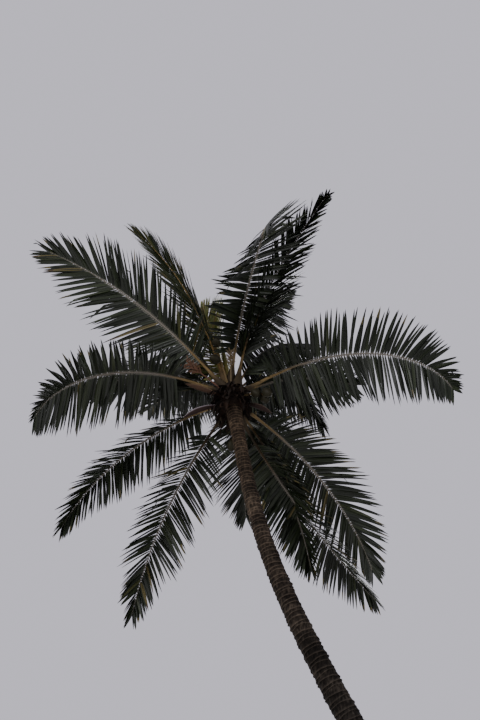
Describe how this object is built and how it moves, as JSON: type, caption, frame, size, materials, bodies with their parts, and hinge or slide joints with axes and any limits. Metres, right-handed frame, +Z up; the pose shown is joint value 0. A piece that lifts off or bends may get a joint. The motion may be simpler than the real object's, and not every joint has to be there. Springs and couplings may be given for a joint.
{
  "type": "coconut palm tree",
  "caption": "Whole leaning coconut palm rooted in level ground, with a ringed trunk, a crown of arching feather fronds, young nuts, flower sprays and woody spathes.",
  "frame": {"origin": "centre of the flat cut under the trunk, at ground level", "axes": "+Z up; +X to the right and +Y away from the viewer in the picture's view, in which the trunk leans towards -X"},
  "size_m": [8.4172, 7.7258, 16.6221],
  "materials": {
    "bark": "rough grey-brown ringed bark",
    "leaf_sheath": "matte brown woven fibre",
    "frond_leaf": "dark green leaf with a faint waxy sheen",
    "young_leaf": "yellow-green leaf with a faint waxy sheen",
    "nut_husk": "smooth waxy green husk",
    "flower_stalk": "matte straw-coloured stalk",
    "spathe_wood": "matte dark red-brown ribbed bract"
  },
  "bodies": {
    "root": {"trunk": "bark", "crown_heart": "leaf_sheath", "spear_leaf": "young_leaf", "frond_01": "frond_leaf", "frond_02": "frond_leaf", "frond_03": "young_leaf", "frond_04": "frond_leaf", "frond_05": "frond_leaf", "frond_06": "frond_leaf", "frond_07": "frond_leaf", "frond_08": "frond_leaf", "frond_09": "frond_leaf", "frond_10": "frond_leaf", "frond_11": "frond_leaf", "frond_12": "frond_leaf", "frond_13": "frond_leaf", "frond_14": "frond_leaf", "frond_15": "frond_leaf", "frond_16": "frond_leaf", "frond_17": "frond_leaf", "frond_18": "young_leaf", "frond_19": "frond_leaf", "frond_20": "frond_leaf", "frond_21": "frond_leaf", "frond_22": "frond_leaf", "frond_23": "frond_leaf", "frond_24": "frond_leaf", "nut_bunch_01": "nut_husk", "nut_bunch_02": "nut_husk", "nut_bunch_03": "nut_husk", "flower_spray_01": "flower_stalk", "flower_spray_02": "flower_stalk", "spathe_01": "spathe_wood", "spathe_02": "spathe_wood", "spathe_03": "spathe_wood", "spathe_04": "spathe_wood"}
  },
  "joints": []
}
